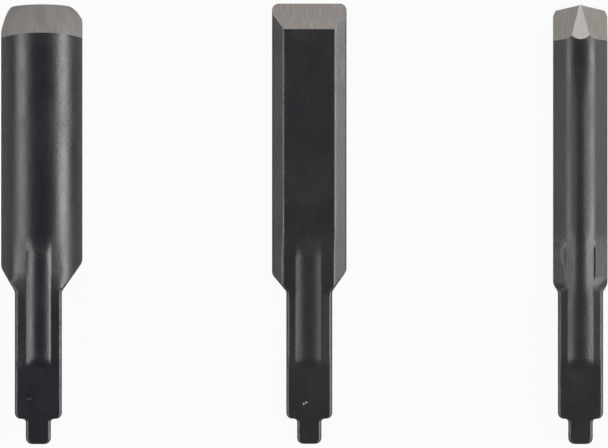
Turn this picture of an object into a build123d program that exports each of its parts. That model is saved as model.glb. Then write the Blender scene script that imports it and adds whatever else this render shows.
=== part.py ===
from build123d import *
import math
import os

# A set of three loose blades for an electric carver: a U gouge, a bevel-edged flat chisel and a V tool.
# Each is one pressed and ground strip of tool steel, lying bevel side up with its cutting edge towards +Y.
# Lengths are in millimetres, angles in degrees, and stations count up the blade from the end of its tang.

# The row and the strip that every blade is pressed from
blade_pitch = 40.0
overall_length = 65.0
strip = 2.0
edge_break = 0.25
cutting_land = 0.05

# The shank that the machine's holder grips, and the tang that its hammer strikes
shank_width = 6.8
shank_length = 18.8
shank_corner = 0.9
tang_width = 3.6
tang_length = 3.7
tang_corner = 0.9
tang_root = 0.5

# The rib pressed up along the shank, and the groove that it leaves behind
rib_width = 3.85
rib_setback = 7.2
rib_low_ramp = 1.9
rib_reach = 7.7
rib_high_ramp = 2.4
groove_width = 2.4
groove_depth = 0.5

# The neck, where the blade narrows to the shank
neck_radius = 0.4
neck_shoulder_radius = 0.8
neck_blend = 1.3

# U gouge, a little shorter than the chisel, with a ground front that leans back from the crown
gouge_short = 0.15
gouge_front_lean = 13.0
gouge_rib_height = 0.5
gouge_width = 12.0
gouge_half_sweep = 60.0
gouge_side_land = 1.3
gouge_bevel = 4.3
gouge_shift = 0.5
gouge_left_taper = 3.5
gouge_right_taper = 4.3

# Flat chisel
chisel_rib_height = 0.35
chisel_width = 11.0
chisel_bevel = 3.8
chisel_chamfer = 1.75
chisel_side_land = 0.8
chisel_corner = 1.0
chisel_left_taper = 2.5
chisel_right_taper = 3.0

# V tool, a little shorter too, with a ground front that leans back from the keel
v_short = 0.25
v_front_lean = 16.0
v_rib_height = 0.48
v_width = 8.0
v_flank = 38.0
v_keel_radius = 4.0
v_channel_radius = 0.9
v_rim = 0.35
v_bevel = 4.3
v_keel_bevel = 4.9
v_taper = 1.0
v_neck_foot_tilt = 15.0
v_neck_side_tilt = 37.0
v_fold_start = 6.8
v_fold_length = 2.6

# Stations, and how finely a ramp and a ground nose are stepped
shoulder = tang_length
neck = tang_length + shank_length
rib_low = shoulder + rib_setback
rib_high = neck + rib_reach
low_ramp = (rib_low, rib_low + rib_low_ramp)
high_ramp = (rib_high - rib_high_ramp, rib_high)
neck_ramp = (neck, neck + neck_blend)
ramp_steps = 6
nose_steps = 8
nose_spare_steps = 2

# Room that a blank or a cutter has beyond the finished blade
overrun = 1.0
side_room = 0.2
cutter_room = 30.0
straight_limit = 1e-6

half_shank = shank_width / 2
half_tang = tang_width / 2
foot = rib_width / 2
groove = groove_width / 2


def along(station):
    """Y of a station, with the middle of the blade at zero."""
    return station - overall_length / 2


def rise(station, ramp):
    """Smooth step from 0 where the ramp starts to 1 where it ends."""
    share = (station - ramp[0]) / (ramp[1] - ramp[0])
    share = min(max(share, 0.0), 1.0)
    return share * share * (3 - 2 * share)


def mix(low, high, share):
    return low + (high - low) * share


def stations(*ramps):
    """Both ends of the blank, and even steps within each ramp."""
    spots = {-overrun, overall_length + overrun}
    for start, end in ramps:
        spots.update(round(mix(start, end, step / ramp_steps), 6) for step in range(ramp_steps + 1))
    return sorted(spots)


def span(start, middle, end):
    """An arc through three points, or a line where they are in line."""
    bend = (middle - start).cross(end - start).length
    return Line(start, end) if bend < straight_limit else ThreePointArc(start, middle, end)


def section(station, reach, corner, foot, groove, top, crown, under, roof, shift=0.0):
    """Cross-section of a pressed strip: two wings and a crown above, two flanks and a groove below.

    reach and corner are half widths of the strip and its channel about shift, foot and groove those of the
    crown and the groove about the shank. top and under give the heights of the wings at x.
    """
    y = along(station)
    left, right = shift - reach, shift + reach
    channel_left, channel_right = shift - corner, shift + corner

    def upper(x):
        return Vector(x, y, top(x))

    def lower(x):
        return Vector(x, y, under(x))

    edges = [
        span(upper(left), upper((left - foot) / 2), upper(-foot)),
        span(upper(-foot), Vector(0, y, crown), upper(foot)),
        span(upper(foot), upper((foot + right) / 2), upper(right)),
        Line(upper(right), lower(right)),
        Line(lower(right), lower(channel_right)),
        span(lower(channel_right), lower((channel_right + groove) / 2), lower(groove)),
        span(lower(groove), Vector(0, y, roof), lower(-groove)),
        span(lower(-groove), lower((channel_left - groove) / 2), lower(channel_left)),
        Line(lower(channel_left), lower(left)),
        Line(lower(left), upper(left)),
    ]
    return Face(Wire(edges))


def blanked(body, left, right, left_taper, right_taper, front, front_corner):
    """Cut a pressed strip to its plan: tang, shank, tapered neck, and a blade from -left to right."""
    corners = [
        (half_tang, 0, tang_corner),
        (half_tang, shoulder, tang_root),
        (half_shank, shoulder, shank_corner),
        (half_shank, neck, neck_radius),
        (right, neck + right_taper, neck_shoulder_radius),
        (right, front, front_corner),
        (-left, front, front_corner),
        (-left, neck + left_taper, neck_shoulder_radius),
        (-half_shank, neck, neck_radius),
        (-half_shank, shoulder, shank_corner),
        (-half_tang, shoulder, tang_root),
        (-half_tang, 0, tang_corner),
    ]
    points = [(x, along(station)) for x, station, _ in corners]
    plan = make_face(FilletPolyline(*points, radius=[radius for _, _, radius in corners], close=True))
    return body & extrude(Pos(0, 0, -overrun) * plan, cutter_room)


def edges_broken(body, wing_top):
    """Chamfer the long edges of the tang and the shank, above and below."""
    size = edge_break * math.sqrt(2)
    for half_width, start, end in ((half_tang, 0, shoulder), (half_shank, shoulder, neck)):
        bar = Rot(0, 45, 0) * Box(size, end - start, size)
        for side in (-1, 1):
            for height in (wing_top, wing_top - strip):
                body -= Pos(side * half_width, along((start + end) / 2), height) * bar
    return body


def wedge(low, high, width):
    """Everything above a plane that runs across the blade through (y, z) points low and high."""
    slope = (high[1] - low[1]) / (high[0] - low[0])
    back = (low[0] - cutter_room, low[1] - slope * cutter_room)
    ahead = (low[0] + overrun, low[1] + slope * overrun)
    profile = make_face(Polyline(back, ahead, (ahead[0], back[1]), close=True))
    return extrude(Plane.YZ * profile, width / 2 + overrun, both=True)


# U gouge: the strip is curved to one radius, and its ground nose is a run of arcs that widen behind the edge
gouge_radius = gouge_width / 2 / math.sin(math.radians(gouge_half_sweep))
gouge_crown = gouge_side_land + gouge_radius - gouge_radius * math.cos(math.radians(gouge_half_sweep))
gouge_centre = gouge_crown - gouge_radius
gouge_channel = math.sqrt((gouge_radius - strip) ** 2 - gouge_centre**2)
gouge_floor_reach = math.sqrt(gouge_radius**2 - gouge_centre**2)
gouge_wing = gouge_centre + math.sqrt(gouge_radius**2 - foot**2)
gouge_front = overall_length - gouge_short
gouge_lean = math.tan(math.radians(gouge_front_lean))


def gouge_section(station):
    curl = rise(station, neck_ramp)
    rib = rise(station, low_ramp) * (1 - rise(station, high_ramp))

    def top(x):
        arc = gouge_centre + math.sqrt(gouge_radius**2 - (x - gouge_shift) ** 2)
        return mix(gouge_wing, arc, curl)

    def under(x):
        inside = max((gouge_radius - strip) ** 2 - (x - gouge_shift) ** 2, 0.0)
        arc = max(gouge_centre + math.sqrt(inside), 0.0)
        return mix(gouge_wing - strip, arc, curl)

    crown = mix(top(0), gouge_wing + gouge_rib_height, rib)
    roof = under(0) + groove_depth * rib
    reach = gouge_width / 2 + side_room
    return section(station, reach, gouge_channel, foot, groove, top, crown, under, roof, gouge_shift)


def nose_arc(step):
    """Region under the ground nose, step by step behind the cutting edge, in a plane that leans back."""
    share = (step / nose_steps) ** 2
    height = mix(gouge_crown - strip + cutting_land, gouge_crown, share)
    reach = mix(gouge_channel + cutting_land, gouge_floor_reach, step / nose_steps)
    y = along(gouge_front - share * gouge_bevel)

    def at(x, z):
        return Vector(gouge_shift + x, y - (height - z) * gouge_lean, z)

    edges = [
        ThreePointArc(at(-reach, 0), at(0, height), at(reach, 0)),
        Line(at(reach, 0), at(reach, -overrun)),
        Line(at(reach, -overrun), at(-reach, -overrun)),
        Line(at(-reach, -overrun), at(-reach, 0)),
    ]
    return Face(Wire(edges))


gouge = loft([gouge_section(spot) for spot in stations(low_ramp, neck_ramp, high_ramp)], ruled=True)
gouge = blanked(
    gouge,
    gouge_width / 2 - gouge_shift,
    gouge_width / 2 + gouge_shift,
    gouge_left_taper,
    gouge_right_taper,
    gouge_front + overrun / 2,
    0,
)
gouge = edges_broken(gouge, gouge_wing)
nose = loft([nose_arc(step) for step in range(nose_steps + nose_spare_steps + 1)], ruled=True)
nose_back = gouge_bevel * (1 + 1 / nose_steps) ** 2
nose_block = Box(cutter_room, nose_back + overrun, cutter_room, align=(Align.CENTER, Align.MIN, Align.CENTER))
gouge -= Pos(0, along(gouge_front) - nose_back, 0) * nose_block - nose

# Flat chisel: one straight bevel across the end, and a chamfer down each long side


def chisel_section(station):
    rib = rise(station, low_ramp) * (1 - rise(station, high_ramp))
    reach = chisel_width / 2 + side_room
    return section(
        station,
        reach,
        (groove + reach) / 2,
        foot,
        groove,
        lambda x: strip,
        strip + chisel_rib_height * rib,
        lambda x: 0.0,
        groove_depth * rib,
    )


chisel = loft([chisel_section(spot) for spot in stations(low_ramp, high_ramp)], ruled=True)
chisel = blanked(
    chisel,
    chisel_width / 2,
    chisel_width / 2,
    chisel_left_taper,
    chisel_right_taper,
    overall_length,
    chisel_corner,
)
chisel = edges_broken(chisel, strip)
chisel -= wedge((along(overall_length), cutting_land), (along(overall_length - chisel_bevel), strip), chisel_width)
chamfer_slope = (strip - chisel_side_land) / chisel_chamfer
for side in (-1, 1):
    inner = chisel_width / 2 - chisel_chamfer
    outer = chisel_width / 2 + overrun
    chamfer_profile = make_face(
        Polyline(
            (side * inner, strip),
            (side * outer, strip - (outer - inner) * chamfer_slope),
            (side * outer, strip + overrun),
            (side * inner, strip + overrun),
            close=True,
        )
    )
    chisel -= extrude(Plane.XZ * chamfer_profile, overall_length, both=True)

# V tool: two flat flanks folded about a round keel, with a bevel on each and a narrow third one along the keel
v_angle = math.radians(v_flank)
keel_foot = v_keel_radius * math.sin(v_angle)
keel_drop = v_keel_radius * (1 - math.cos(v_angle))
v_wall = strip / math.cos(v_angle)
v_channel = v_width / 2 - v_rim
v_crown = v_wall + keel_drop + (v_channel - keel_foot) * math.tan(v_angle)
channel_apex = v_crown - keel_drop + keel_foot * math.tan(v_angle) - v_wall
channel_foot = v_channel_radius * math.sin(v_angle)
channel_roof = channel_apex - v_channel_radius * (1 / math.cos(v_angle) - 1)
fold_ramp = (neck + v_fold_start, neck + v_fold_start + v_fold_length)
v_front = overall_length - v_short
v_lean = math.tan(math.radians(v_front_lean))


def v_section(station):
    """The rib stands on rounded wings at the neck. Further up they straighten into the flanks of the V."""
    fold = rise(station, fold_ramp)
    curl = rise(station, neck_ramp)
    rib = rise(station, low_ramp)
    foot_tilt = math.radians(mix(v_neck_foot_tilt * curl, v_flank, fold))
    side_tilt = math.radians(mix(v_neck_side_tilt * curl, v_flank, fold))
    foot_here = mix(foot, keel_foot, fold)
    groove_here = mix(groove, channel_foot, fold)
    wing = v_crown - mix(v_rib_height, keel_drop, fold)
    bend = (math.tan(side_tilt) - math.tan(foot_tilt)) / (v_width - 2 * foot_here)

    def top(x):
        out = abs(x) - foot_here
        return wing - out * math.tan(foot_tilt) - max(out, 0.0) ** 2 * bend

    def under(x):
        return max(top(x) - strip / math.cos(side_tilt), 0.0)

    crown = mix(wing, v_crown, rib)
    roof = mix(under(groove_here) + groove_depth * rib, channel_roof, fold)
    reach = v_width / 2 + side_room
    return section(station, reach, v_channel, foot_here, groove_here, top, crown, under, roof)


v_half = v_width / 2
v_tool = loft([v_section(spot) for spot in stations(low_ramp, neck_ramp, fold_ramp)], ruled=True)
v_tool = blanked(v_tool, v_half, v_half, v_taper, v_taper, v_front, 0)
v_tool = edges_broken(v_tool, v_crown - v_rib_height)
edge_tip = along(v_front)
for side in (-1, 1):
    run = Vector(side, -v_lean * math.tan(v_angle), -math.tan(v_angle))
    climb = Vector(0, -v_bevel, v_wall)
    upward = run.cross(climb) * -side
    flank_plane = Plane(origin=(0, edge_tip, channel_apex), x_dir=run, z_dir=upward)
    cutter = Box(cutter_room, cutter_room, cutter_room, align=(Align.CENTER, Align.CENTER, Align.MIN))
    v_tool -= flank_plane * cutter
v_tool -= wedge((edge_tip, channel_roof), (edge_tip - v_keel_bevel, v_crown), v_width)

# The row, centred on the floor
left_reach = -blade_pitch + gouge_shift - gouge_width / 2
right_reach = blade_pitch + v_width / 2
row_middle = (left_reach + right_reach) / 2
row = {
    "gouge_blade": (gouge, -blade_pitch),
    "chisel_blade": (chisel, 0.0),
    "v_tool_blade": (v_tool, blade_pitch),
}
os.makedirs("parts", exist_ok=True)
for name, (blade, place) in row.items():
    export_step(Pos(place - row_middle, 0, 0) * blade, f"parts/{name}.step")
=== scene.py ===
import math
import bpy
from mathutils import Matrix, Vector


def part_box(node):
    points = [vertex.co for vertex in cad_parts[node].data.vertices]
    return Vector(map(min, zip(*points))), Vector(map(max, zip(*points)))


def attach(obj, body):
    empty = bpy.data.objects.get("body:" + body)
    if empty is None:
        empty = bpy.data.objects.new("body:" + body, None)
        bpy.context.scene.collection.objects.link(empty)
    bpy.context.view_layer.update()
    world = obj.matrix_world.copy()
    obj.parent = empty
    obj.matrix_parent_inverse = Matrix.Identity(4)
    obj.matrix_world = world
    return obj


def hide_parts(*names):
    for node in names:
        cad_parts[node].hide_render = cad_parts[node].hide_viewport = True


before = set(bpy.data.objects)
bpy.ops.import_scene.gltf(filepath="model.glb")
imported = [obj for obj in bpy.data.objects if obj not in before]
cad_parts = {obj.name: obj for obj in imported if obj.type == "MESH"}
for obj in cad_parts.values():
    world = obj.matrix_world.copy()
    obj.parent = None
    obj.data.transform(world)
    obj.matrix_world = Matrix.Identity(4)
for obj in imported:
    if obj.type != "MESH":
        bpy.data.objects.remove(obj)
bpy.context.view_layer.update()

from types import SimpleNamespace

import bpy

# U gouge: one strip of tool steel, pressed to a round channel with a stiffening rib at its root,
# blackened all over and then ground bright on the nose, which leans back from the crown.
# It lies loose on the two rims of its channel. Lengths in the blades' sections are millimetres.
millimetre = 0.001
degree = math.pi / 180
quarter_turn = math.pi / 2
merge_distance = 0.001
sharp_angle = 18 * degree
widest_foot = 0.6
half_step = 0.5

# Columns from the middle of the strip to half way down its side, on the upper or the under face
crown_end = 10
wing_end = crown_end + 16
crease_middle = wing_end + 3
crease_end = crease_middle + 3
land_end = crease_end + 6
turn_end = land_end + 7
side_middle = turn_end + 2
loop_columns = 4 * side_middle


class Field:
    """A number, place or colour that a node tree works out at each point. Numbers take plain arithmetic."""

    def __init__(self, socket):
        self.socket = socket
        self.tree = socket.id_data

    def __add__(self, other):
        return calc("ADD", self, other)

    def __radd__(self, other):
        return calc("ADD", other, self)

    def __sub__(self, other):
        return calc("SUBTRACT", self, other)

    def __rsub__(self, other):
        return calc("SUBTRACT", other, self)

    def __mul__(self, other):
        return calc("MULTIPLY", self, other)

    def __rmul__(self, other):
        return calc("MULTIPLY", other, self)

    def __truediv__(self, other):
        return calc("DIVIDE", self, other)

    def __rtruediv__(self, other):
        return calc("DIVIDE", other, self)

    def __neg__(self):
        return calc("MULTIPLY", self, -1)

    def __abs__(self):
        return calc("ABSOLUTE", self)


def feed(sockets, terms):
    """Link the fields to the sockets in turn, and set plain values on them."""
    for socket, term in zip(sockets, terms):
        if isinstance(term, Field):
            term.tree.links.new(term.socket, socket)
        else:
            socket.default_value = term


def calc(operation, *terms):
    tree = next(term.tree for term in terms if isinstance(term, Field))
    node = tree.nodes.new("ShaderNodeMath")
    node.operation = operation
    feed(node.inputs, terms)
    return Field(node.outputs[0])


def lower(first, second):
    return calc("MINIMUM", first, second)


def higher(first, second):
    return calc("MAXIMUM", first, second)


def root(value):
    return calc("SQRT", value)


def mix(first, second, share):
    return first + (second - first) * share


def ramp(value, start, end, steps="LINEAR"):
    """0 up to start, 1 from end on."""
    tree = next(term.tree for term in (value, start, end) if isinstance(term, Field))
    node = tree.nodes.new("ShaderNodeMapRange")
    node.interpolation_type = steps
    feed(node.inputs, (value, start, end))
    return Field(node.outputs[0])


def smooth_step(value, start, end):
    return ramp(value, start, end, "SMOOTHSTEP")


def smooth_lower(first, second, blend):
    return calc("SMOOTH_MIN", first, second, blend)


def smooth_higher(first, second, blend):
    return calc("SMOOTH_MAX", first, second, blend)


def even(share):
    return share


def slow_start(share):
    return 1 - calc("COSINE", share * quarter_turn)


def slow_end(share):
    return calc("SINE", share * quarter_turn)


def corner_gap(radius, run):
    """How far a rounded corner stands in from the square one, at a run from where it starts."""
    left = higher(radius - run, 0)
    return radius - root(radius * radius - left * left)


def arch(height, half_width, x, round_share=1.0):
    """Height of an arch above its own feet: round on top, straight further down, and zero outside."""
    out = lower(abs(x) / half_width, 1)
    bent = lower(out, round_share)
    return height * (1 - (bent * bent / (2 * round_share) + out - bent) / (1 - round_share / 2))


def strip_points(tree, size):
    """Where each point of the grid lies on the strip: round its section, and along it by stations.

    Stations count from the end of the tang. Each leg has its number of rows, the station where it ends and
    the pace of its rows. The last two are left to the blade's own rule: lead falls from 1 to 0 between the
    plain blade and the heel of its bevel, and ground from 1 to 0 between that heel and the cutting edge.
    """
    place = tree.nodes.new("ShaderNodeSeparateXYZ")
    tree.links.new(tree.nodes.new("GeometryNodeInputPosition").outputs[0], place.inputs[0])
    shoulder = size.tang_length
    neck = shoulder + size.shank_length
    rib_low = shoulder + size.rib_setback
    legs = (
        (1, 0.0, even),
        (7, size.tang_corner, slow_start),
        (4, shoulder - size.tang_root, even),
        (5, shoulder, slow_end),
        (1, shoulder + size.shoulder_step, even),
        (7, shoulder + size.shank_corner, slow_start),
        (6, rib_low, even),
        (16, rib_low + size.rib_low_ramp, even),
        (8, neck - size.curl_lead, even),
        (44, neck + size.curl_reach, even),
        (40, neck + size.pressed_reach, even),
        (14, size.overall_length - size.front_length, even),
        (6, None, even),
        (16, None, even),
    )
    rows = sum(leg[0] for leg in legs)
    column = Field(place.outputs["X"]) + loop_columns / 2
    row = Field(place.outputs["Y"]) + rows / 2
    around = abs(column - 2 * side_middle)
    fold = side_middle - abs(around - side_middle)

    station = reached = 0.0
    starts = []
    first = 0
    for count, end, pace in legs:
        starts.append(first)
        if end is not None:
            station = (end - reached) * pace(ramp(row, first, first + count)) + station
            reached = end
        first += count
    shoulder_row, shank_row = starts[4:6]
    lead_row, heel_row = starts[-2:]
    return SimpleNamespace(
        rows=rows,
        station=station,
        shoulder=shoulder,
        neck=neck,
        rib_low=rib_low,
        right=calc("GREATER_THAN", column, 2 * side_middle),
        sign=calc("SIGN", column - 2 * side_middle),
        under=calc("GREATER_THAN", around, side_middle),
        crown=ramp(fold, 0, crown_end),
        wing=ramp(fold, crown_end, wing_end),
        crease=ramp(fold, wing_end, crease_end),
        land=ramp(fold, crease_end, land_end),
        turn=ramp(fold, land_end, turn_end),
        flank=ramp(around, turn_end, 2 * side_middle - turn_end),
        end_face=1 - ramp(row, 0, 1),
        past_shoulder=ramp(row, shoulder_row, shank_row),
        lead=1 - ramp(row, lead_row, heel_row),
        ground=1 - ramp(row, heel_row, rows),
        edge=ramp(row, rows - 1, rows),
        worn_turn=1 - lower(abs(fold - (land_end + turn_end) / 2) / (turn_end - land_end), 1),
        worn_crease=1 - lower(abs(fold - crease_middle) / (crease_middle - wing_end), 1),
        past_heel=calc("GREATER_THAN", row, heel_row),
        behind_heel=calc("LESS_THAN", row, heel_row + half_step),
        within=lambda last_column: calc("LESS_THAN", around, last_column),
    )


def plan_reach(size, strip, half_blade, taper):
    """Half width of the strip on the point's own side: tang, shank, tapered neck and blade."""
    half_shank = size.shank_width / 2
    station = strip.station
    tang = size.tang_width / 2 - corner_gap(size.tang_corner, station)
    tang = tang + corner_gap(size.tang_root, strip.shoulder - station)
    shank = half_shank - corner_gap(size.shank_corner, station - strip.shoulder)
    spread = (station - strip.neck) * (half_blade - half_shank) / taper
    spread = smooth_higher(spread, 0, size.neck_radius)
    blade = smooth_lower(shank + spread, half_blade, size.neck_shoulder_radius)
    return mix(tang, blade, strip.past_shoulder)


def edge_round(size, strip):
    """Radius of the strip's long edges: tumbled round on the shank, almost sharp on the blade."""
    on_blade = smooth_step(strip.station, strip.neck, strip.neck + size.blade_edge_start)
    radius = mix(size.shank_edge, size.blade_edge, on_blade)
    return radius * strip.ground * (1 - strip.end_face)


def across(size, strip, foot, crease, reach, rounding):
    """Distance from the middle of the strip, with columns laid along the rib's foot and the crease."""
    inner = reach - rounding
    foot = lower(foot, inner * widest_foot)
    crease_start = lower(crease - size.crease_half, inner)
    crease_stop = lower(crease + size.crease_half, inner)
    flat = foot * strip.crown + (crease_start - foot) * strip.wing
    flat = flat + (crease_stop - crease_start) * strip.crease + (inner - crease_stop) * strip.land
    return flat + rounding * slow_end(strip.turn)


def rib_rise(size, strip):
    """How far the rib has risen from the shank, and how far it has sunk into the blade."""
    low_end = strip.rib_low + size.rib_low_ramp
    high_end = strip.neck + size.rib_reach
    rising = smooth_step(strip.station, strip.rib_low, low_end)
    falling = ramp(strip.station, high_end - size.rib_high_ramp, high_end)
    return rising, falling


def wall_height(strip, top, under, rounding):
    """Height of a point between the upper face, the rounded edges, the side and the under face."""
    top = higher(top, under)
    drop = lower(rounding * slow_start(strip.turn), (top - under) / 2)
    height = mix(top - drop, under + drop, strip.flank)
    return mix(height, (top + under) / 2, strip.end_face)


def press_blade(node, body, sizes, rule, oxide, *ground_finishes):
    """Press one blade from a grid of rows along it and columns round it, by the rule for its shape.

    The rule numbers the ground faces from 1, in the order of the ground finishes.
    """
    tree = bpy.data.node_groups.new(f"{node} pressing", "GeometryNodeTree")
    tree.interface.new_socket("Geometry", in_out="OUTPUT", socket_type="NodeSocketGeometry")
    inputs = {}
    for name in sizes:
        inputs[name] = tree.interface.new_socket(name, in_out="INPUT", socket_type="NodeSocketFloat")
    entry = tree.nodes.new("NodeGroupInput")
    size = SimpleNamespace(**{name: Field(entry.outputs[name]) for name in sizes})
    strip = strip_points(tree, size)
    x, back, z, worn, ground_face = rule(size, strip)

    grid = tree.nodes.new("GeometryNodeMeshGrid")
    feed(grid.inputs, (loop_columns, strip.rows, loop_columns + 1, strip.rows + 1))
    shape = grid.outputs["Mesh"]

    def then(kind, *terms, **settings):
        """Pass the shape on through one more node."""
        nonlocal shape
        step = tree.nodes.new(kind)
        for setting, value in settings.items():
            setattr(step, setting, value)
        tree.links.new(shape, step.inputs["Mesh" if "Mesh" in step.inputs else "Geometry"])
        for label, term in terms:
            feed([step.inputs[label]], [term])
        shape = step.outputs[0]

    point = tree.nodes.new("ShaderNodeCombineXYZ")
    middle_y = (size.overall_length / 2 - back + size.place_y) * millimetre
    feed(point.inputs, ((x + size.place_x) * millimetre, middle_y, z * millimetre))
    bend = tree.nodes.new("GeometryNodeInputMeshEdgeAngle")
    is_sharp = calc("GREATER_THAN", Field(bend.outputs["Unsigned Angle"]), sharp_angle)
    ground = tree.nodes.new("GeometryNodeInputNamedAttribute")
    ground.inputs["Name"].default_value = "ground"
    ground_number = Field(ground.outputs["Attribute"])

    then("GeometryNodeStoreNamedAttribute", ("Name", "worn"), ("Value", worn), domain="POINT")
    then("GeometryNodeStoreNamedAttribute", ("Name", "ground"), ("Value", ground_face), domain="FACE")
    then("GeometryNodeSetPosition", ("Position", Field(point.outputs[0])))
    then("GeometryNodeMergeByDistance", ("Distance", merge_distance * millimetre))
    then("GeometryNodeSetShadeSmooth", ("Shade Smooth", True), domain="FACE")
    then("GeometryNodeSetShadeSmooth", ("Selection", is_sharp), ("Shade Smooth", False), domain="EDGE")
    then("GeometryNodeRealizeInstances")
    then("GeometryNodeSetMaterial", ("Material", oxide))
    for number, finish in enumerate(ground_finishes, 1):
        chosen = calc("COMPARE", ground_number, number, half_step)
        then("GeometryNodeSetMaterial", ("Selection", chosen), ("Material", finish))
    tree.links.new(shape, tree.nodes.new("NodeGroupOutput").inputs["Geometry"])

    blade = bpy.data.objects.new(f"{node}_pressed", bpy.data.meshes.new(node))
    bpy.context.scene.collection.objects.link(blade)
    pressing = blade.modifiers.new("pressing", "NODES")
    pressing.node_group = tree
    for name, value in sizes.items():
        pressing[inputs[name].identifier] = value
    graph = bpy.context.evaluated_depsgraph_get()
    pressed = bpy.data.meshes.new_from_object(
        blade.evaluated_get(graph), preserve_all_data_layers=True, depsgraph=graph
    )
    blade.modifiers.remove(pressing)
    blade.data = pressed
    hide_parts(node)
    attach(blade, body)


def new_finish(name):
    """A new material, its shader, and the place of each point in the frame."""
    material = bpy.data.materials.new(name)
    material.use_nodes = True
    nodes = material.node_tree.nodes
    return material, nodes["Principled BSDF"], Field(nodes.new("ShaderNodeTexCoord").outputs["Object"])


def noise(place, detail, x_scale, y_scale=None, z_scale=None):
    """Noise from 0 to 1, with the same scale along each axis unless others are given."""
    mapping = place.tree.nodes.new("ShaderNodeMapping")
    feed([mapping.inputs["Vector"]], [place])
    mapping.inputs["Scale"].default_value = (x_scale, y_scale or x_scale, z_scale or x_scale)
    texture = place.tree.nodes.new("ShaderNodeTexNoise")
    texture.inputs["Scale"].default_value = 1
    texture.inputs["Detail"].default_value = detail
    feed([texture.inputs["Vector"]], [Field(mapping.outputs["Vector"])])
    return Field(texture.outputs["Fac"])


def toned(tone, red, green, blue):
    """An opaque colour: the tone with each of its parts multiplied."""
    return tone[0] * red, tone[1] * green, tone[2] * blue, 1


def tint(share, first, second):
    """The colour at a share of the way from the first to the second."""
    node = share.tree.nodes.new("ShaderNodeMix")
    node.data_type = "RGBA"
    factor, first_colour, second_colour = node.inputs[0], node.inputs[6], node.inputs[7]
    feed((factor, first_colour, second_colour), (share, first, second))
    return Field(node.outputs[2])


def dress(shader, colour, roughness, relief, strength, depth):
    """Give a shader its colour, its roughness and a fine relief."""
    bump = relief.tree.nodes.new("ShaderNodeBump")
    labels = "Strength", "Distance", "Height"
    feed([bump.inputs[label] for label in labels], (strength, depth * millimetre, relief))
    labels = "Base Color", "Roughness", "Normal"
    feed([shader.inputs[label] for label in labels], (colour, roughness, Field(bump.outputs["Normal"])))


def black_oxide(name, tone, marks, relief, dull=0.355):
    """Blackened steel: dark, a little uneven, rubbed lighter on its edges.

    Each mark is a spot of another tone, either a real nick or a painted highlight: its middle, its radius
    and the tone.
    """
    browner = (1.25, 1.17, 1.08)
    rubbed_tone = (0.1, 0.1, 0.1)
    dull_range = 0.055
    mark_core = 1 / 3
    grain_depth = 0.05
    material, shader, place = new_finish(name)
    shader.inputs["IOR"].default_value = 2.0
    mottle = ramp(noise(place, detail=4, x_scale=420), 0.35, 0.7)
    patches = noise(place, detail=2, x_scale=170)
    grain = noise(place, detail=4, x_scale=2600)
    drawn = noise(place, detail=4, x_scale=5200, y_scale=240)
    rubbed = ramp(noise(place, detail=3, x_scale=700), 0.3, 0.62)
    worn = place.tree.nodes.new("ShaderNodeAttribute")
    worn.attribute_name = "worn"

    colour = tint(mottle, (*tone, 1), toned(tone, *browner))
    colour = tint(Field(worn.outputs["Fac"]) * rubbed, colour, (*rubbed_tone, 1))
    for middle, radius, mark_tone in marks:
        gap = place.tree.nodes.new("ShaderNodeVectorMath")
        gap.operation = "DISTANCE"
        feed(gap.inputs, (place, middle))
        rim = radius * millimetre
        inside = ramp(Field(gap.outputs["Value"]), rim, rim * mark_core)
        colour = tint(inside, colour, (*mark_tone, 1))
    uneven = ramp(grain * drawn + patches, 0.55, 0.95)
    roughness = mix(dull - dull_range, dull + dull_range, uneven)
    dress(shader, colour, roughness, grain, relief, grain_depth)
    return material


def ground_steel(name, tone, dull=0.7, contrast=0.25, band_share=0.0):
    """Bare steel off the grinding wheel, with fine marks and broad bands that run towards the edge."""
    dull_range = 0.06
    mark_strength = 0.15
    mark_depth = 0.01
    material, shader, place = new_finish(name)
    shader.inputs["Metallic"].default_value = 1.0
    marks = noise(place, detail=5, x_scale=3600, y_scale=130, z_scale=900)
    bands = noise(place, detail=1, x_scale=420, y_scale=90)
    darker, lighter = (toned(tone, part, part, part) for part in (1 - contrast, 1 + contrast))
    colour = tint(mix(marks, bands, band_share), darker, lighter)
    roughness = mix(dull + dull_range, dull - dull_range, marks)
    dress(shader, colour, roughness, marks, mark_strength, mark_depth)
    return material


def blade_frame(node, shift=0.0):
    """Length, width and place of a blade, as the frame has them."""
    low, high = (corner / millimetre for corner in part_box(node))
    return dict(
        overall_length=high.y - low.y,
        blade_width=high.x - low.x,
        place_x=(low.x + high.x) / 2 - shift,
        place_y=(low.y + high.y) / 2,
    )


def shank_point(sizes, x, along, height):
    """A point in the frame, from the middle of a blade's tang end."""
    tang_end = sizes["place_y"] - sizes["overall_length"] / 2
    return tuple(part * millimetre for part in (sizes["place_x"] + x, tang_end + along, height))


# Sizes that the three blades share: strip, tang, shank, neck, rib and the groove under it
shank_sizes = dict(
    strip=2.0,
    tang_width=3.6,
    tang_length=3.7,
    tang_corner=0.9,
    tang_root=0.5,
    shank_width=6.8,
    shank_length=18.8,
    shank_corner=0.9,
    shoulder_step=0.03,
    shank_edge=0.47,
    blade_edge=0.1,
    blade_edge_start=2.5,
    curl_lead=1.0,
    curl_reach=3.2,
    crease_half=0.16,
    neck_radius=0.3,
    neck_shoulder_radius=0.5,
    rib_width=3.85,
    rib_height=0.5,
    rib_setback=7.2,
    rib_low_ramp=1.9,
    rib_reach=8.4,
    rib_high_ramp=2.8,
    left_droop=math.tan(9 * degree),
    right_droop=math.tan(9 * degree),
    groove_width=2.4,
    groove_depth=0.5,
    pressed_reach=9.0,
    front_length=9.0,
)

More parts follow.
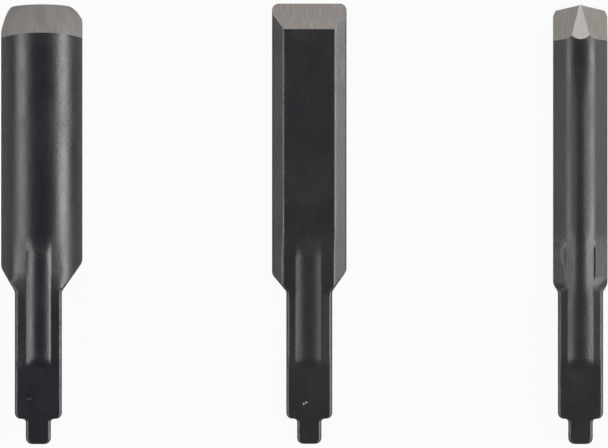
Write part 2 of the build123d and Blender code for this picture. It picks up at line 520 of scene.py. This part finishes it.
# The gouge's own sizes, and those in which its shank differs from the others
gouge_shift = 0.45
gouge_sizes = dict(
    shank_sizes,
    **blade_frame("gouge_blade", gouge_shift),
    shift=gouge_shift,
    half_sweep=60 * degree,
    side_land=1.3,
    bevel=4.2,
    edge_lean=math.tan(7 * degree),
    heel_lean=math.tan(13 * degree),
    left_edge_reach=4.1,
    left_corner_spread=2.15,
    right_edge_reach=3.62,
    right_corner_spread=3.69,
    left_taper=3.5,
    right_taper=4.3,
    left_neck_slope=math.tan(18 * degree),
    right_neck_slope=math.tan(16.5 * degree),
    neck_slope_reach=3.0,
    left_knee=0.7,
    right_knee=0.35,
    step_lift=1.6,
    left_step_start=-0.9,
    left_step_end=3.4,
    left_lift=0.12,
    left_lift_end=6.5,
    right_step_start=-0.9,
    right_step_end=0.6,
    right_lift=0.18,
    right_lift_end=8.0,
    fold_start=5.8,
    fold_end=8.8,
)
gouge_sizes.update(
    shank_width=6.93,
    tang_width=3.68,
    rib_width=3.7,
    rib_height=0.53,
    rib_round=1.0,
    rib_shift=0.04,
    rib_lean=math.tan(4.5 * degree),
    right_droop=math.tan(1 * degree),
)


def gouge_rule(size, strip):
    """Flat shank wings curl into a half round, whose ground nose is a run of widening arcs."""
    half = size.blade_width / 2
    radius = half / calc("SINE", size.half_sweep)
    centre = size.side_land - radius * calc("COSINE", size.half_sweep)
    inside = radius - size.strip
    crown = centre + radius
    channel = root(inside * inside - centre * centre)
    floor_reach = root(radius * radius - centre * centre)
    foot = size.rib_width / 2
    groove = size.groove_width / 2
    wing = centre + root(radius * radius - foot * foot)

    share = strip.ground * strip.ground
    nose_height = mix(crown - size.strip, crown, share)
    nose_reach = mix(channel, floor_reach, slow_end(strip.ground))
    nose_radius = (nose_reach * nose_reach + nose_height * nose_height) / (2 * nose_height)

    offset = strip.sign * size.shift
    taper = mix(size.left_taper, size.right_taper, strip.right)
    edge_reach = mix(size.left_edge_reach, size.right_edge_reach, strip.right)
    corner_spread = mix(size.left_corner_spread, size.right_corner_spread, strip.right)
    corner = edge_reach + corner_spread * strip.ground
    at_corner = calc("LESS_THAN", corner, half)
    reach = plan_reach(size, strip, lower(half, lower(nose_reach, corner)) + offset, taper)
    rounding = edge_round(size, strip)
    rising, falling = rib_rise(size, strip)
    rib = rising * (1 - falling)
    x_foot = mix(foot, groove, strip.under * (1 - falling)) + strip.sign * size.rib_shift
    x = strip.sign * across(size, strip, x_foot, channel + offset, reach, rounding)
    x_rib = x - size.rib_shift

    above_neck = strip.station - strip.neck
    into_neck = ramp(above_neck, -size.curl_lead, size.neck_slope_reach)
    left_slope = mix(size.left_droop, size.left_neck_slope, into_neck)
    right_slope = mix(size.right_droop, size.right_neck_slope, into_neck)
    slope = mix(left_slope, right_slope, strip.right)
    curl = smooth_step(above_neck, size.right_step_start, size.left_step_end)
    fold = smooth_step(above_neck, size.fold_start, size.fold_end)

    def lift(step_start, step_end, gentle, gentle_end):
        step = 1 - smooth_step(above_neck, step_start, step_end)
        return size.step_lift * step + gentle * (1 - smooth_step(above_neck, step_end, gentle_end))

    left_lift = lift(size.left_step_start, size.left_step_end, size.left_lift, size.left_lift_end)
    right_lift = lift(size.right_step_start, size.right_step_end, size.right_lift, size.right_lift_end)

    def shank(x):
        lean = size.rib_lean * lower(higher(x, -foot), foot)
        return wing + rising * (lean - slope * higher(abs(x) - foot, 0))

    def plate(x):
        out = (x - size.shift) * (x - size.shift)
        round_face = nose_height - nose_radius + root(nose_radius * nose_radius - out)
        side = smooth_step(x, -foot, foot)
        lifted = round_face + mix(left_lift, right_lift, side)
        knee = mix(size.left_knee, size.right_knee, side)
        return mix(smooth_lower(shank(x), lifted, knee), round_face, fold)

    out = (x - size.shift) * (x - size.shift)
    inner = higher(centre + root(inside * inside - out), 0)
    crest_height = rib * (wing + size.rib_height - plate(0))
    top = plate(x) + arch(crest_height, foot, x_rib, size.rib_round)
    under = mix(shank(x) - size.strip, inner, curl) + arch(rib * size.groove_depth, groove, x_rib)
    z = wall_height(strip, top, under, rounding)

    front = share * size.bevel + (nose_height - z) * mix(size.edge_lean, size.heel_lean, share)
    back = mix(front, size.overall_length - strip.station, strip.lead)
    nose = higher(strip.within(turn_end), at_corner * strip.within(2 * side_middle - turn_end))
    return x, back, z, strip.worn_turn, strip.past_heel * nose


nick_radius = 0.2
dull_nick = (0.3, 0.3, 0.3)
gouge_nicks = [
    (shank_point(gouge_sizes, -1.6, 6.65, 4.38), nick_radius, dull_nick),
    (shank_point(gouge_sizes, -1.19, 6.68, 4.41), nick_radius, dull_nick),
]
gouge_oxide = black_oxide("gouge black oxide", (0.0114, 0.0138, 0.021), gouge_nicks, relief=0.43)
gouge_bevel = ground_steel("gouge ground steel", (0.526, 0.497, 0.481), contrast=0.35, band_share=0.75)
press_blade("gouge_blade", "gouge", gouge_sizes, gouge_rule, gouge_oxide, gouge_bevel)

# Flat chisel: one strip of tool steel left flat, with the same pressed rib and shank, its two long sides
# chamfered before blackening and its end ground to one straight bevel. It lies loose on its back.
chisel_sizes = dict(
    shank_sizes,
    **blade_frame("chisel_blade"),
    bevel=3.8,
    crease_round=0.18,
    droop_end=0.3,
    chamfer=1.75,
    left_chamfer=math.tan(35.5 * degree),
    right_chamfer=math.tan(35 * degree),
    right_tip_chamfer=math.tan(32.2 * degree),
    front_corner=1.0,
    left_taper=2.5,
    right_taper=3.0,
)
chisel_sizes.update(
    rib_height=0.4,
    rib_round=0.72,
    rib_reach=8.3,
    rib_high_ramp=3.2,
    rib_shift=-0.1,
    rib_lean=math.tan(2.2 * degree),
    pressed_reach=8.6,
)


def chisel_rule(size, strip):
    """A flat plate under a bevel across its end and a chamfer down each side."""
    half = size.blade_width / 2
    foot = size.rib_width / 2
    groove = size.groove_width / 2
    share = strip.ground * strip.ground
    plate = size.strip * share
    towards_tip = ramp(strip.station, strip.neck, size.overall_length)
    right_slope = mix(size.right_chamfer, size.right_tip_chamfer, towards_tip)
    slope = mix(size.left_chamfer, right_slope, strip.right)
    side_land = size.strip - size.chamfer * slope

    taper = mix(size.left_taper, size.right_taper, strip.right)
    half_front = half - corner_gap(size.front_corner, share * size.bevel)
    reach = plan_reach(size, strip, half_front, taper)
    rounding = edge_round(size, strip)
    rising, falling = rib_rise(size, strip)
    rib = rising * (1 - falling)
    x_foot = mix(foot, groove, strip.under * (1 - falling)) + strip.sign * size.rib_shift
    crease = half - (plate - side_land) / slope
    x = strip.sign * across(size, strip, x_foot, crease, reach, rounding)
    x_rib = x - size.rib_shift

    chamfer = side_land + (half - abs(x)) * slope
    on_shank = 1 - smooth_step(strip.station, strip.neck - size.curl_lead, strip.neck + size.droop_end)
    droop = mix(size.left_droop, size.right_droop, strip.right) * rising * on_shank
    droop = droop * higher(abs(x) - foot, 0)
    lean = rib * size.rib_lean * lower(higher(x, -foot), foot)
    flat = plate - droop + lean + arch(rib * size.rib_height, foot, x_rib, size.rib_round)
    top = smooth_lower(flat, chamfer, size.crease_round * strip.behind_heel)
    under = arch(rib * size.groove_depth, groove, x_rib)
    z = wall_height(strip, top, under, rounding)
    back = mix(share * size.bevel, size.overall_length - strip.station, strip.lead)
    on_blade = ramp(strip.station, strip.neck, strip.neck + size.right_taper)
    worn = higher(strip.worn_turn * (1 - on_blade), strip.worn_crease * on_blade * (1 - strip.under))
    return x, back, z, worn, strip.past_heel * strip.within(crease_middle)


bright_nick = (0.75, 0.75, 0.75)
chisel_nicks = [
    (shank_point(chisel_sizes, -0.82, 5.9, 2.0), nick_radius, bright_nick),
    (shank_point(chisel_sizes, -0.44, 6.1, 2.0), nick_radius, bright_nick),
]
chisel_oxide = black_oxide("chisel black oxide", (0.0216, 0.0233, 0.0292), chisel_nicks, relief=0.25)
chisel_bevel = ground_steel("chisel ground steel", (0.61, 0.567, 0.54))
press_blade("chisel_blade", "chisel", chisel_sizes, chisel_rule, chisel_oxide, chisel_bevel)

# V tool: one strip of tool steel folded about a round keel, with the same pressed rib and shank, blackened,
# then ground on both flanks and along the keel. It lies loose on the two rims of its channel.
v_sizes = dict(
    shank_sizes,
    **blade_frame("v_tool_blade"),
    flank=38 * degree,
    ridge_half=0.55,
    ridge_tilt=14 * degree,
    tip_ridge_half=0.75,
    tip_ridge_tilt=3 * degree,
    tip_start=14.0,
    tip_end=6.0,
    shoulder_half=1.45,
    shoulder_tilt=20.5 * degree,
    keel_half=2.3,
    channel_radius=0.65,
    rim=0.35,
    bevel=4.73,
    keel_bevel=5.05,
    edge_lean=math.tan(16 * degree),
    heel_lean=math.tan(9.8 * degree),
    front_corner=0.5,
    taper=1.0,
    rib_crest=1.4,
    rib_foot_round=0.04,
    neck_start=-1.8,
    neck_end=2.0,
    neck_crest=1.1,
    left_neck_side=math.tan(26 * degree),
    right_neck_side=math.tan(24 * degree),
    neck_foot_start=1.35,
    neck_foot_end=2.05,
    left_neck_slope=math.tan(36.5 * degree),
    left_splay_start=-0.2,
    left_splay_end=1.4,
    right_neck_slope=math.tan(34.8 * degree),
    right_splay_start=-0.6,
    right_splay_end=2.6,
    root_start=0.6,
    root_end=8.0,
    root_ramp=2.2,
    left_root_inside=1.8,
    left_root_outside=2.45,
    left_root_turn=0.3,
    left_root_share=0.58,
    dent_start=3.0,
    dent_end=5.0,
    dent_outside=3.1,
    dent_turn=0.7,
    right_root_inside=1.9,
    right_root_outside=2.24,
    right_root_turn=0.07,
    right_root_share=1.0,
    fold_start=6.8,
    fold_end=9.4,
)
v_sizes.update(shank_width=6.66, rib_height=0.48, rib_lean=math.tan(2 * degree))

# Rounds of guessing where the keel facet ends, each from the last one
facet_steps = 4


def roll(x, start, end, fall):
    """Drop of a surface whose slope grows by a fall between two distances, and stays on beyond them."""
    bent = lower(higher(x - start, 0), end - start)
    return fall * (bent * bent / (2 * (end - start)) + higher(x - end, 0))


def v_rule(size, strip):
    """Rounded wings beside the rib straighten into flat flanks, under two bevels and a keel facet."""
    half = size.blade_width / 2
    foot = size.rib_width / 2
    groove = size.groove_width / 2
    cosine = calc("COSINE", size.flank)
    fall = calc("TANGENT", size.flank)
    near_tip = ramp(strip.station, size.overall_length - size.tip_start, size.overall_length - size.tip_end)
    ridge_half = mix(size.ridge_half, size.tip_ridge_half, near_tip)
    ridge_fall = calc("TANGENT", mix(size.ridge_tilt, size.tip_ridge_tilt, near_tip))
    shoulder_fall = calc("TANGENT", size.shoulder_tilt)

    def keel(x):
        on_ridge = roll(x, 0, ridge_half, ridge_fall)
        on_shoulder = roll(x, ridge_half, size.shoulder_half, shoulder_fall - ridge_fall)
        return on_ridge + on_shoulder + roll(x, size.shoulder_half, size.keel_half, fall - shoulder_fall)

    wall = size.strip / cosine
    channel = half - size.rim
    crown = wall + keel(channel)
    apex = channel * fall
    channel_foot = size.channel_radius * calc("SINE", size.flank)
    roof = apex - size.channel_radius * (1 / cosine - 1)

    # Planes of the bevels, which climb behind the edge, and the lines where they meet
    climb = wall / size.bevel
    edge_lean = fall * (1 + climb * size.edge_lean)
    heel_lean = fall * (1 + climb * size.heel_lean)
    keel_climb = (crown - roof) / size.keel_bevel
    facet_tip = (apex - roof) / edge_lean
    facet_base = facet_tip
    for step in range(facet_steps):
        facet_base_back = (crown - keel(facet_base) - roof) / keel_climb
        facet_base = (apex - roof + (climb - keel_climb) * facet_base_back) / heel_lean

    above_neck = strip.station - strip.neck
    rising = rib_rise(size, strip)[0]
    in_neck = smooth_step(above_neck, size.neck_start, size.neck_end)
    fold = smooth_step(above_neck, size.fold_start, size.fold_end)
    level = crown - size.rib_height
    channel_side = apex - fall * channel_foot

    # Slopes from the crest outward, and where they change: at the crest, at the rib's foot, and in a narrow
    # level strip along its root, which widens to a dent on the left
    rib_side = size.rib_height / (foot - size.rib_crest / 2) - strip.sign * size.rib_lean
    crest_end = mix(size.rib_crest, size.neck_crest, in_neck)
    neck_side = mix(size.left_neck_side, size.right_neck_side, strip.right)
    side_fall = mix(rib_side, neck_side, in_neck)
    foot_start = mix(foot - size.rib_foot_round, size.neck_foot_start, in_neck)
    foot_end = mix(foot + size.rib_foot_round, size.neck_foot_end, in_neck)
    droop = mix(size.left_droop, size.right_droop, strip.right)
    neck_slope = mix(size.left_neck_slope, size.right_neck_slope, strip.right)
    left_splay = smooth_step(above_neck, size.left_splay_start, size.left_splay_end)
    right_splay = smooth_step(above_neck, size.right_splay_start, size.right_splay_end)
    wing_fall = mix(droop, neck_slope, mix(left_splay, right_splay, strip.right))
    past_root = smooth_step(above_neck, size.root_end - size.root_ramp, size.root_end)
    in_root = smooth_step(above_neck, size.root_start, size.root_start + size.root_ramp) - past_root
    dent = smooth_step(above_neck, size.dent_start, size.dent_end)
    left_outside = mix(size.left_root_outside, size.dent_outside, dent)
    left_outer_turn = mix(size.left_root_turn, size.dent_turn, dent)
    root_inside = mix(size.left_root_inside, size.right_root_inside, strip.right)
    root_outside = mix(left_outside, size.right_root_outside, strip.right)
    inner_turn = mix(size.left_root_turn, size.right_root_turn, strip.right)
    outer_turn = mix(left_outer_turn, size.right_root_turn, strip.right)
    levelled = wing_fall * in_root * mix(size.left_root_share, size.right_root_share, strip.right)

    def outer(x):
        drop = roll(x, 0, crest_end, side_fall) - roll(x, foot_start, foot_end, side_fall - wing_fall)
        drop = drop - roll(x, root_inside, root_inside + inner_turn, levelled)
        drop = drop + roll(x, root_outside - outer_turn, root_outside, levelled)
        return mix(level + rising * (size.rib_height - drop), crown - keel(x), fold)

    def inner(x):
        ribbed = level - size.strip - rising * wing_fall * higher(x - foot, 0)
        ribbed = higher(ribbed, 0) + arch(rising * size.groove_depth, groove, x)
        folded = higher(apex - fall * higher(x, channel_foot), 0)
        return mix(ribbed, folded + arch(roof - channel_side, channel_foot, x), in_neck)

    share = strip.ground * strip.ground
    half_front = half - corner_gap(size.front_corner, share * size.bevel)
    reach = plan_reach(size, strip, half_front, size.taper)
    rounding = edge_round(size, strip)

    def columns(crown_half_width):
        return across(size, strip, crown_half_width, channel, reach, rounding)

    def back_on_flank(height, x, lean):
        return (height - apex + lean * x) / climb

    def back_on_keel(height):
        return (height - roof) / keel_climb

    unfolded = 1 - ramp(above_neck, size.fold_start, size.fold_end)
    x_foot = mix(foot, size.keel_half, fold)
    x_foot = mix(x_foot, mix(groove, channel_foot, fold), strip.under * unfolded)
    lean = mix(edge_lean, heel_lean, share)
    facet_line = (apex - roof + (climb - keel_climb) * facet_base_back * share) / lean
    x_foot = mix(facet_line, x_foot, strip.lead)
    across_here = columns(x_foot)
    at_edge = columns(facet_tip)
    at_heel = columns(facet_base)
    edge_back = higher(back_on_flank(inner(at_edge), at_edge, edge_lean), 0)
    heel_height = outer(at_heel)
    heel_back = higher(back_on_flank(heel_height, at_heel, heel_lean), back_on_keel(heel_height))
    front = mix(edge_back, heel_back, share)
    back = mix(front, size.overall_length - strip.station, strip.lead)

    planes = lower(apex + climb * front - lean * across_here, roof + keel_climb * front)
    ground_top = mix(planes, inner(across_here), strip.edge)
    top = mix(ground_top, outer(across_here), strip.behind_heel)
    z = wall_height(strip, top, inner(across_here), rounding)
    ground_face = strip.past_heel * strip.within(turn_end) * (1 + strip.within(crown_end))
    return strip.sign * across_here, back, z, strip.worn_turn, ground_face


# Lighter brown spots on the V tool's left wing near the neck: partly a brown tint of the oxide, partly
# painted highlight along the rounded knee between wing and flank.
brown = (0.052, 0.04, 0.031)
tint_and_highlight_radius = 1.0
wide_tint_and_highlight_radius = 1.6
v_tint_and_painted_highlight = [(shank_point(v_sizes, -2.8, along, 3.1), tint_and_highlight_radius, brown) for along in (27.4, 28.4, 29.4)]
v_tint_and_painted_highlight.append((shank_point(v_sizes, -1.7, 30.8, 3.6), wide_tint_and_highlight_radius, brown))
v_oxide = black_oxide("v tool black oxide", (0.0188, 0.0194, 0.0218), v_tint_and_painted_highlight, relief=0.56, dull=0.405)
v_bevel = ground_steel("v tool ground steel", (0.645, 0.6, 0.553), dull=0.5)
# The keel facet is the same ground steel as the flanks, with a lighter tone: a painted highlight for the
# facet, which faces the far panel.
v_facet_painted_highlight = ground_steel("v tool facet steel painted highlight", (0.81, 0.785, 0.745), dull=0.5, contrast=0.1)
press_blade("v_tool_blade", "v_tool", v_sizes, v_rule, v_oxide, v_bevel, v_facet_painted_highlight)

# Floor: a plain white sheet of paper that the three loose blades lie on. It is white to the camera with
# a faint shadow, and dimmer in the blades, whose sides mirror the part of it that they shade.
# Lengths from here on are metres.
floor_half = 2.5
floor_drop = 0.00005
paper_tone = (0.5, 0.5, 0.5)
paper_white = {"Is Camera Ray": 0.95, "Is Glossy Ray": 0.2, "Is Transmission Ray": 0.95}
floor_mesh = bpy.data.meshes.new("floor")
corners = [(x * floor_half, y * floor_half, -floor_drop) for x, y in ((-1, -1), (1, -1), (1, 1), (-1, 1))]
floor_mesh.from_pydata(corners, [], [(0, 1, 2, 3)])
floor = bpy.data.objects.new("floor", floor_mesh)
bpy.context.scene.collection.objects.link(floor)
paper = bpy.data.materials.new("white paper")
paper.use_nodes = True
nodes, links = paper.node_tree.nodes, paper.node_tree.links
matt = nodes["Principled BSDF"]
matt.inputs["Base Color"].default_value = (*paper_tone, 1)
matt.inputs["Roughness"].default_value = 0.9
white = nodes.new("ShaderNodeEmission")
white.inputs["Strength"].default_value = 1.0
path = nodes.new("ShaderNodeLightPath")
whitened = sum(Field(path.outputs[ray]) * share for ray, share in paper_white.items())
blend = nodes.new("ShaderNodeMixShader")
feed(blend.inputs, (whitened, Field(matt.outputs[0]), Field(white.outputs[0])))
links.new(blend.outputs[0], nodes["Material Output"].inputs["Surface"])
floor_mesh.materials.append(paper)

# Studio: soft panels on the left, on the right and beyond the cutting edges, the right one brightest,
# in a dim room that is white only near the floor.
panel_distance = 1.5
watts_per_area = 4
room_level = 0.075
horizon_level = 1.0
horizon_low = 0.03
horizon_high = 0.06


def soft_panel(name, turn, zenith, width, length, brightness):
    """A soft panel that faces the blades, turned round the row and tilted from overhead by degrees."""
    lamp = bpy.data.lights.new(name, "AREA")
    lamp.shape = "RECTANGLE"
    lamp.size = width
    lamp.size_y = length
    lamp.energy = brightness * watts_per_area * width * length
    panel = bpy.data.objects.new(name, lamp)
    bpy.context.scene.collection.objects.link(panel)
    panel.rotation_euler = (0, zenith * degree, turn * degree)
    panel.location = panel.rotation_euler.to_matrix().col[2] * panel_distance


soft_panel("right panel", turn=0, zenith=54, width=0.6, length=1.2, brightness=3.5)
soft_panel("left panel", turn=180, zenith=52, width=0.6, length=1.2, brightness=1.95)
soft_panel("far panel", turn=90, zenith=46, width=0.35, length=1.25, brightness=1.8)

world = bpy.data.worlds.new("studio room")
bpy.context.scene.world = world
world.use_nodes = True
nodes, links = world.node_tree.nodes, world.node_tree.links
room = nodes["Background"]
room.inputs["Color"].default_value = (1, 1, 1, 1)
direction = nodes.new("ShaderNodeSeparateXYZ")
links.new(nodes.new("ShaderNodeTexCoord").outputs["Generated"], direction.inputs[0])
near_floor = ramp(Field(direction.outputs["Z"]), horizon_high, horizon_low)
feed([room.inputs["Strength"]], [mix(room_level, horizon_level, near_floor)])

# Camera: a long lens straight above the row, with the cutting edges towards the top of the picture,
# whose width is measured at the middle height of the blades.
photo_width = 0.08967
sensor = 36.0
lens = 800.0
blade_height = 0.003
photo_middle = (-0.00003, -0.00006)
camera_data = bpy.data.cameras.new("camera")
camera_data.sensor_width = sensor
camera_data.lens = lens
camera = bpy.data.objects.new("camera", camera_data)
bpy.context.scene.collection.objects.link(camera)
camera.location = (*photo_middle, blade_height + photo_width * lens / sensor)
bpy.context.scene.camera = camera
bpy.context.scene.view_settings.view_transform = "Standard"
